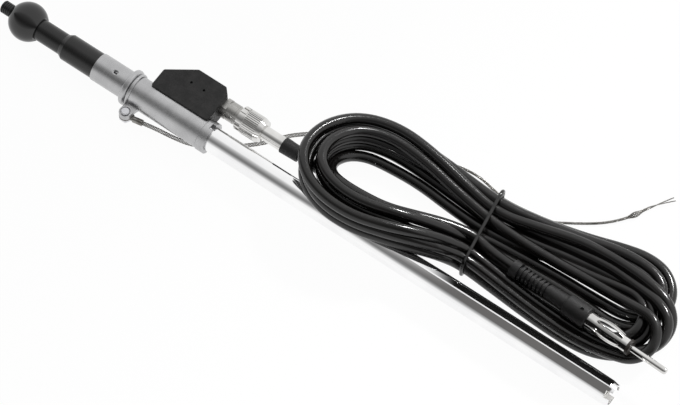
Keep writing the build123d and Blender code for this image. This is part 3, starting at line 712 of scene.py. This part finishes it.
# The turns in the order in which they are wound
TURNS = (
    Turn(
        (-9.2, 3.9),
        ((168, 31.2, 3.9), (187, 33.2, 3.1), (205, 34.8, 2.6), (217, 35, 2.6), (228, 35.4, 2.6), (238.4, 36, 3),
         (245.2, 39.8, 4), (247.8, 47, 5.6), (245.2, 54.4, 6.6), (238.4, 58.4, 6.8), (228, 59, 6.8), (217, 57.6, 6.6),
         (204, 54.4, 5.6), (187, 50.6, 6.2), (168, 46.8, 8)),
        ((5, 8), (2.5, 8.4), (-0.4, 20.3), (2.2, 23.4)),
    ),
    Turn(
        (5, 8),
        ((168, 17, 8), (187, 15.2, 7.6), (205, 13.4, 7.3), (222, 12.7, 7.4), (234, 13.8, 7), (244.2, 16.2, 6.8),
         (252.2, 18.6, 7.6), (256.9, 25.2, 9.8), (255.6, 33.2, 12), (249.2, 38, 13), (241.2, 38.2, 11.4),
         (230, 38.8, 8.4), (217, 39, 6.9), (203, 38.2, 7), (187, 37.4, 7.6), (168, 37.8, 8)),
        ((-4, 8), (-2.8, 13), (-6, 25.4), (-6.4, 27.4)),
    ),
    Turn(
        (-5.2, 3.9),
        ((168, 27.2, 3.9), (187, 29, 3.3), (205, 30.6, 2.6), (222, 30.3, 2.6), (235, 29.6, 2.6), (245.2, 33.4, 2.6),
         (250.8, 43.6, 2.6), (250, 55.2, 2.6), (242, 63.2, 2.6), (231, 64.6, 2.6), (219, 61.6, 2.6),
         (209, 58.2, 2.6), (198, 55, 2.9), (186, 51.9, 3.4), (168, 49, 3.9)),
        ((7.2, 3.9), (2.5, 3.7), (1.6, 15.6), (2.7, 18.8)),
    ),
    Turn(
        (6.9, 3.9),
        ((168, 15.1, 3.9), (187, 13.8, 3.3), (205, 12.6, 2.6), (223, 12.1, 2.6), (235, 13.5, 2.6), (245, 18.2, 2.6),
         (252.6, 25.2, 2.6), (257.6, 34, 2.8), (257.4, 42.8, 6), (251.2, 48.8, 9.4), (241.6, 51.4, 10),
         (231, 52.8, 9), (219, 53.5, 7.6), (204, 52, 8), (187, 47, 8.2), (168, 42.4, 8)),
        ((0.6, 8), (2.5, 13.2), (2.4, 25), (1.4, 28)),
    ),
    Turn(
        (1, 8),
        ((168, 21, 8), (187, 18.8, 6.8), (205, 17.6, 5.8), (222, 17.2, 6), (234, 17.4, 6.2), (245, 19.6, 6.2),
         (253.2, 23.8, 6.6), (258.4, 31.8, 8), (256.6, 41, 10.4), (248.4, 45.8, 11), (240, 47.5, 9), (231, 49, 7),
         (220, 50, 6), (204, 48.4, 5), (187, 46.2, 4.2), (168, 44.2, 3.9)),
        ((2.4, 3.9), (-4.6, 8.3), (-5.6, 20.8), (-5, 22.8)),
    ),
    Turn(
        (2.8, 3.9),
        ((168, 19.2, 3.9), (187, 19.8, 3.3), (205, 20.4, 2.6), (222, 20.4, 2.6), (233, 19.8, 2.6), (244.6, 23, 2.6),
         (250.9, 30.8, 4), (249, 41, 7.6), (241, 47.2, 7), (231.8, 47.7, 4.6), (220, 47.4, 2.9), (205, 45.2, 2.8),
         (187, 41.6, 3.4), (168, 38.6, 3.9)),
        ((-3.2, 3.9), (-5.6, 3.6), (-6, 16.2), (-5.2, 18.2)),
    ),
    Turn(
        (-1.2, 3.9),
        ((168, 23.2, 3.9), (187, 24.4, 3.3), (205, 25.4, 2.6), (222, 24.6, 2.6), (234, 22, 3.2), (242.6, 24.4, 5.4),
         (246.9, 31.4, 7.6), (245.4, 39.9, 8.4), (238.6, 45, 7.2), (229.6, 44.8, 5.2), (219, 43.2, 4), (204, 41, 3.9),
         (187, 37.4, 3.9), (168, 33.8, 3.9)),
        left=((149.5, 34.6, 3.9), (131, 36.4, 3.8), (114, 35.4, 3.7), (105, 33.4, 4.8), (98.8, 27.9, 7.8),
              (96.8, 19.8, 12), (100.4, 13.6, 16), (107.8, 11, 18.8), (119, 10.8, 19.8), (131, 12.4, 19.2),
              (144, 18.8, 15.6), (155, 24, 12.6)),
    ),
)
# From the boot to the first turn, and from the last turn to the plug
LEAD_IN: tuple[Point, ...] = (
    (77, 15.7, 9), (84, 15.7, 8.8), (92, 15.8, 6.8), (103, 15.8, 4.6), (118, 16.8, 4), (135, 20.5, 3.9), (152, 26, 3.9)
)
TAIL: tuple[Point, ...] = ((166.5, 27.6, 9), (176, 24.95, 9.4), (188, 24.2, 10))


@dataclass
class WoundLead:
    """The aerial lead, wound in turns that spread into two loops.

    Attributes:
        start: where the winding's own X begins in the frame, in mm.
        section_steps: how finely the lead is rounded.
    """

    diameter: float = 5.0
    section_steps: int = 5
    length: float = 2725.0
    start: float = -1.6

    def left_loop(self, turn: Turn, following: Optional[Turn]) -> list[Point]:
        """Return a turn's points round the left loop.

        Args:
            turn: the turn.
            following: the turn that it runs on into.

        Returns:
            The points in mm.
        """
        if following is None:
            return list(turn.left)
        slots = (*turn.slots, following.low)
        places = [LOOP_BEFORE, *(Vector((station.x, station.y)) for station in LEFT_LOOP), LOOP_AFTER]
        points = []
        for last, station, ahead in zip(places, LEFT_LOOP, places[2:]):
            run = (ahead - last).normalized()
            near, far = slots[station.before.value], slots[station.after.value]
            out = near[0] + (far[0] - near[0]) * station.out_share
            rise = near[1] + (far[1] - near[1]) * station.rise_share
            points.append((station.x + out * run.y, station.y - out * run.x, rise))
        return points

    def route(self) -> list[Vector]:
        """Return the control points of the lead from its boot to the plug."""
        points = list(LEAD_IN)
        for turn, following in zip(TURNS, (*TURNS[1:], None)):
            points += [*turn.right, *self.left_loop(turn, following)]
        return [at(x + self.start, y, height) for x, y, height in (*points, *TAIL)]

    def build(self, pieces: list[bpy.types.Object]) -> None:
        """Args:
            pieces: what is on the lead, the plug's parts and the tie; not used.
        """
        route = self.route()
        curve = bare_spline("aerial_lead", route)
        round_bar(curve, self.diameter / 2, self.section_steps, SHEATH_PVC)
        lead = link_object("aerial_lead", curve)
        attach(lead, "base")
        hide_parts("cable_lead", "cable_hank", "cable_tail")
        LOG.info("aerial_lead: %d points, %s", len(route), SHEATH_PVC.name)


@dataclass
class Tie:
    """Narrow tie drawn round the waist of the hank, with its end bent over.

    Attributes:
        place: the middle of the bundle, in mm with the height above the floor.
        turn: how far the bundle turns from the X axis, in degrees.
        section_steps: how finely the tie is rounded.
        path: the tie's line from its bent end once round, in mm across the bundle and up.
    """

    place: Point = (165.6, 32.1, 6.1)
    turn: float = 8.2
    radius: float = 0.85
    section_steps: int = 3
    path: tuple[Pair, ...] = (
        (20.1, -0.2), (20.6, 2.6), (19, 5.2), (16.6, 6), (9, 5.9), (0, 5.9), (-9, 5.9), (-17, 5.9), (-20.6, 4.4),
        (-21, 0), (-20.6, -4.2), (-17, -5.2), (-9, -5.2), (0, -5.2), (9, -5.2), (17, -5.2), (19.5, -3.8), (20, 0),
        (19, 3.2), (15.5, 4.4),
    )

    def build(self) -> bpy.types.Object:
        """Make the tie in place of its CAD solid and return it."""
        turn = math.radians(self.turn)
        x, y, height = self.place
        route = [at(x - a * math.sin(turn), y + a * math.cos(turn), height + up) for a, up in self.path]
        curve = bare_spline("tie_line", route)
        round_bar(curve, self.radius, self.section_steps, SHEATH_PVC)
        line = link_object("tie_line", curve)
        tie = link_object("hank_tie", plain_mesh(line, "hank_tie"))
        bpy.data.objects.remove(line)
        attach(tie, "base")
        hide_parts("cable_tie")
        LOG.info("hank_tie: %s", SHEATH_PVC.name)
        return tie


STRAP_ROUTE: tuple[Point, ...] = (
    (14.78, -9.78, 5.35), (21.18, -8.65, 5.35), (29.4, -6.4, 2.0), (37.9, -3.9, 0.6), (47.9, 2.2, 0.5),
    (56.6, 9.4, 0.5), (63, 15.8, 0.5), (67.9, 23.2, 0.5), (75.4, 30, 0.5), (85.4, 37.5, 0.5), (98.4, 45, 0.5),
    (114.4, 49.8, 0.5), (131.4, 53.2, 0.5), (146.6, 56.2, 0.5), (159.4, 53.4, 0.5), (170.4, 51.8, 0.5),
    (182.4, 53.4, 0.5), (194.4, 60.8, 0.5), (205.4, 68.6, 0.7), (213, 77.6, 1.3), (217, 86.6, 1.4), (223.4, 95.4, 1.0),
)


@dataclass
class EarthStrap:
    """Braided earth strap from the crimped eye to its knotted bare end, in mm.

    Attributes:
        taper: where along the strap it is drawn in to a thin twist.
        knot: where the knot lies along it.
        knot_reach: how far the knot's swelling runs to each side.
        knot_rise: how much it swells.
        bare: where all but the loose wires end.
        fan: how far the loose wires part for each mm.
        step: how far apart the points along a wire lie.
        wire_sides: how many faces a wire has round it.
    """

    width: float = 1.7
    thick: float = 0.8
    twist_width: float = 0.9
    length: float = 248.0
    wires: int = 14
    wire_radius: float = 0.15
    wire_sides: int = 5
    pitch: float = 9.0
    taper: Pair = (80.0, 140.0)
    knot: float = 229.0
    knot_reach: float = 4.0
    knot_rise: float = 0.7
    bare: float = 236.0
    loose: int = 4
    fan: float = 0.1
    step: float = 0.4

    def tool(self) -> bpy.types.NodeTree:
        """Return the node group that lays wires over and under each other along a line."""
        lengths = ("Half Width", "Half Twist", "Half Thickness", "Pitch", "Wire Radius", "Knot Reach", "Knot Rise")
        marks = ("Taper Start", "Taper End", "Knot At", "Bare From", "Step", "Fan")
        tree, given = node_tool(
            "braided_strap",
            {
                "Wires": ("NodeSocketInt", self.wires),
                "Loose": ("NodeSocketInt", self.loose),
                **{label: ("NodeSocketFloat", MM) for label in (*lengths, *marks)},
                "Material": ("NodeSocketMaterial", None),
            },
        )
        line = add_node(tree, "GeometryNodeMeshToCurve", {"Mesh": given["Geometry"]})
        steps = {"Curve": line.outputs[0], "Length": given["Step"]}
        even = add_node(tree, "GeometryNodeResampleCurve", steps, mode="LENGTH")
        amount = {"Geometry": even.outputs[0], "Amount": given["Wires"]}
        copies = add_node(tree, "GeometryNodeDuplicateElements", amount, domain="SPLINE")
        index = copies.outputs["Duplicate Index"]
        along = add_node(tree, "GeometryNodeSplineParameter").outputs["Length"]
        ahead = add_node(tree, "GeometryNodeInputTangent").outputs[0]
        side = vector_node(tree, "NORMALIZE", {0: vector_node(tree, "CROSS_PRODUCT", {0: ahead, 1: tuple(UP)})})
        up = vector_node(tree, "CROSS_PRODUCT", {0: side, 1: ahead})
        # Every other wire winds the other way, up to where the strap is bare
        way = math_node(tree, "MULTIPLY_ADD", math_node(tree, "MODULO", index, 2.0), 2.0, -1.0)
        wound = math_node(tree, "MINIMUM", along, given["Bare From"])
        laps = math_node(tree, "MULTIPLY", math_node(tree, "DIVIDE", wound, given["Pitch"]), way)
        share = math_node(tree, "ADD", math_node(tree, "DIVIDE", index, given["Wires"]), laps)
        angle = math_node(tree, "MULTIPLY", share, math.tau)
        taper = (given["Taper Start"], given["Taper End"])
        tapered = range_node(tree, along, taper, (given["Half Width"], given["Half Twist"]), smooth=True)
        off_knot = math_node(tree, "ABSOLUTE", math_node(tree, "SUBTRACT", along, given["Knot At"]))
        swell = range_node(tree, off_knot, (0.0, given["Knot Reach"]), (given["Knot Rise"], 0.0), smooth=True)
        parting = math_node(tree, "MULTIPLY", way, given["Fan"])
        fan = math_node(tree, "MULTIPLY", math_node(tree, "SUBTRACT", along, wound), parting)
        half_width = math_node(tree, "ADD", tapered, swell)
        across = math_node(tree, "MULTIPLY_ADD", half_width, math_node(tree, "COSINE", angle), fan)
        half_thickness = math_node(tree, "ADD", given["Half Thickness"], swell)
        rise = math_node(tree, "MULTIPLY", half_thickness, math_node(tree, "SINE", angle))
        sideways = vector_node(tree, "SCALE", {0: side, "Scale": across})
        upward = vector_node(tree, "SCALE", {0: up, "Scale": rise})
        offset = vector_node(tree, "ADD", {0: sideways, 1: upward})
        # Only the loose wires run on past the bare place
        past = math_node(tree, "GREATER_THAN", along, given["Bare From"])
        extra = math_node(tree, "GREATER_THAN", math_node(tree, "ADD", index, 0.5), given["Loose"])
        gone = {"Geometry": copies.outputs[0], "Selection": math_node(tree, "MULTIPLY", past, extra)}
        cut = add_node(tree, "GeometryNodeDeleteGeometry", gone, domain="POINT")
        laid = add_node(tree, "GeometryNodeSetPosition", {"Geometry": cut.outputs[0], "Offset": offset})
        section = {"Resolution": self.wire_sides, "Radius": given["Wire Radius"]}
        ring = add_node(tree, "GeometryNodeCurvePrimitiveCircle", section)
        bar = {"Curve": laid.outputs[0], "Profile Curve": ring.outputs[0], "Fill Caps": True}
        tubes = add_node(tree, "GeometryNodeCurveToMesh", bar)
        close_tool(tree, tubes.outputs[0], given["Material"])
        return tree

    def values(self) -> dict[str, Any]:
        """Return what the node group's inputs get."""
        lengths = {
            "Half Width": self.width / 2,
            "Half Twist": self.twist_width / 2,
            "Half Thickness": self.thick / 2,
            "Pitch": self.pitch,
            "Wire Radius": self.wire_radius,
            "Taper Start": self.taper[0],
            "Taper End": self.taper[1],
            "Knot At": self.knot,
            "Knot Reach": self.knot_reach,
            "Knot Rise": self.knot_rise,
            "Bare From": self.bare,
            "Step": self.step,
        }
        counts = {"Wires": self.wires, "Loose": self.loose, "Fan": self.fan, "Material": TINNED.material()}
        return {**{label: value * MM for label, value in lengths.items()}, **counts}

    def build(self) -> None:
        route = [at(*point) for point in STRAP_ROUTE]
        curve = link_object("strap_line", bare_spline("strap_line", route))
        line = plain_mesh(curve, "strap_line")
        bpy.data.objects.remove(curve)
        strap = grown("earth_strap", line, self.tool(), self.values())
        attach(strap, "base")
        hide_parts("earth_braid")
        LOG.info("earth_strap: %d wires, %s", self.wires, TINNED.name)


@dataclass(frozen=True)
class Card:
    """Dim card that only reflections show.

    Attributes:
        level: how bright it is.
        fade: where along X it fades in, in mm.
        corners: its corners, in mm with the height above the floor.
    """

    level: float
    fade: Pair
    corners: tuple[Point, ...]


@dataclass
class Studio:
    """White light tent, pale floor, a softbox, dim cards and the camera, in mm.

    Attributes:
        lens: the camera's focal length on a sensor of sensor width.
        box_spread: how far the softbox's light spreads, in degrees.
        card_tint: the cards' colour.
        paper: how pale the floor is.
        floor_glow: how much of the floor's white stays in its shadows.
        tent: the tent's brightness at angles from straight up towards the near side, in degrees.
    """

    eye: Point = (463.20, -493.56, 1258.31)
    target: Point = (108.31, 7.14, 0.0)
    lens: float = 172.4
    sensor: float = 36.0
    clip: Pair = (50.0, 50000.0)
    floor_half: float = 6000.0
    box_place: Point = (490.0, 910.0, 820.0)
    box_target: Point = (343.0, 45.0, 5.0)
    box_size: Pair = (500.0, 350.0)
    box_watts: float = 0.4
    box_spread: float = 10.0
    card_tint: tuple[float, ...] = (1.0, 0.97, 0.95, 1.0)
    cards: tuple[Card, ...] = (
        Card(0.008, (150, 170), ((150, 10.8, 13), (252, 9.6, 13), (252, 9.6, 29), (150, 10.8, 30))),
        Card(0.15, (100, 175), ((100, 7, 34), (256, 8, 34), (256, -34, 36), (186, -24, 36), (100, -8, 36))),
    )
    paper: tuple[float, ...] = (0.95, 0.95, 0.95, 1.0)
    floor_glow: float = 0.96
    tent: tuple[Pair, ...] = ((-12.0, 1.0), (2.0, 0.54), (20.0, 0.32), (42.0, 0.08), (62.0, 0.66), (74.0, 1.0))

    def build(self) -> None:
        """Make the camera, the lights, the floor and the cards."""
        scene = bpy.context.scene
        scene.view_settings.view_transform = "Standard"
        view = bpy.data.cameras.new("photo_view")
        view.lens, view.sensor_width = self.lens, self.sensor
        view.clip_start, view.clip_end = (distance * MM for distance in self.clip)
        scene.camera = link_object("photo_view", view)
        aim(scene.camera, Vector(self.eye) * MM, Vector(self.target) * MM)
        self.light()
        self.floor()
        self.softbox()
        for number, card in enumerate(self.cards):
            self.stand(card, f"dim_card_{number}")

    def light(self) -> None:
        """Light the object by a white tent with a dim gap that runs along the mast."""
        world = bpy.data.worlds.new("light_tent")
        bpy.context.scene.world = world
        tree = empty_tree(world)
        way = add_node(tree, "ShaderNodeTexCoord").outputs["Generated"]
        parts = add_node(tree, "ShaderNodeSeparateXYZ", {0: way}).outputs
        lean = math_node(tree, "ARCTAN2", math_node(tree, "MULTIPLY", parts["Y"], -1.0), parts["Z"])
        ramp = add_node(tree, "ShaderNodeValToRGB", {"Fac": range_node(tree, lean, (-math.pi, math.pi), (0.0, 1.0))})
        # The ramp runs once round the mast, with straight up in its middle
        ramp.color_ramp.interpolation = "B_SPLINE"
        stops = ramp.color_ramp.elements
        while len(stops) < len(self.tent):
            stops.new(0.5)
        for stop, (angle, level) in zip(stops, self.tent):
            stop.position = angle / 360 + 0.5
            stop.color = (level, level, level, 1.0)
        tent = add_node(tree, "ShaderNodeBackground", {"Color": ramp.outputs["Color"], "Strength": 1.0})
        white = add_node(tree, "ShaderNodeBackground", {"Color": WHITE, "Strength": 1.0})
        seen = add_node(tree, "ShaderNodeLightPath").outputs["Is Camera Ray"]
        both = add_node(tree, "ShaderNodeMixShader", {0: seen, 1: tent.outputs[0], 2: white.outputs[0]})
        add_node(tree, "ShaderNodeOutputWorld", {"Surface": both.outputs[0]})

    def softbox(self) -> None:
        """Hang a softbox behind the right loop, which puts the bright lines on its bends."""
        lamp = bpy.data.lights.new("softbox", "AREA")
        lamp.shape = "RECTANGLE"
        lamp.size, lamp.size_y = (side * MM for side in self.box_size)
        lamp.spread = math.radians(self.box_spread)
        lamp.energy = self.box_watts
        box = link_object("softbox", lamp)
        aim(box, Vector(self.box_place) * MM, at(*self.box_target))

    def stand(self, card: Card, name: str) -> None:
        """Stand a dim card by the foot of the tube.

        Args:
            card: the card.
            name: what its object and material are called.
        """
        mesh = bpy.data.meshes.new(name)
        mesh.from_pydata([at(*corner) for corner in card.corners], [], [tuple(range(len(card.corners)))])
        piece = link_object(name, mesh)
        material = bpy.data.materials.new(name)
        tree = empty_tree(material)
        place = add_node(tree, "ShaderNodeTexCoord").outputs["Object"]
        along = add_node(tree, "ShaderNodeSeparateXYZ", {0: place}).outputs["X"]
        share = range_node(tree, along, tuple(edge * MM for edge in card.fade), (0.0, 1.0), smooth=True)
        clear = add_node(tree, "ShaderNodeBsdfTransparent")
        dim = add_node(tree, "ShaderNodeEmission", {"Color": self.card_tint, "Strength": card.level})
        mixed = add_node(tree, "ShaderNodeMixShader", {0: share, 1: clear.outputs[0], 2: dim.outputs[0]})
        add_node(tree, "ShaderNodeOutputMaterial", {"Surface": mixed.outputs[0]})
        mesh.materials.append(material)
        piece.visible_camera = piece.visible_diffuse = piece.visible_shadow = piece.visible_transmission = False

    def floor(self) -> None:
        """Lay a pale floor that stays white and keeps a light shadow."""
        half = self.floor_half * MM
        mesh = bpy.data.meshes.new("studio_floor")
        corners = [(x, y, FLOOR_Z) for x, y in ((-half, -half), (half, -half), (half, half), (-half, half))]
        mesh.from_pydata(corners, [], [(0, 1, 2, 3)])
        floor = link_object("studio_floor", mesh)
        material = bpy.data.materials.new("white_paper")
        tree = empty_tree(material)
        paper = add_node(tree, "ShaderNodeBsdfDiffuse", {"Color": self.paper})
        glow = add_node(tree, "ShaderNodeEmission", {"Color": WHITE, "Strength": 1.0})
        rays = add_node(tree, "ShaderNodeLightPath").outputs
        shine = math_node(tree, "MAXIMUM", rays["Is Glossy Ray"], rays["Is Transmission Ray"])
        seen = math_node(tree, "MAXIMUM", rays["Is Camera Ray"], shine)
        share = math_node(tree, "MULTIPLY", seen, self.floor_glow)
        mixed = add_node(tree, "ShaderNodeMixShader", {0: share, 1: paper.outputs[0], 2: glow.outputs[0]})
        add_node(tree, "ShaderNodeOutputMaterial", {"Surface": mixed.outputs[0]})
        mesh.materials.append(material)


def main() -> None:
    """Build the studio and each sub-assembly."""
    Studio().build()
    WoundLead().build([*AerialPlug().build(), Tie().build()])
    EarthStrap().build()
    for part in (Head(), Mast(), Casting(), ConnectionBox(), LeadConnector()):
        part.dress()


if __name__ == "__main__":
    logging.basicConfig(level=logging.INFO, format="%(message)s")
    main()
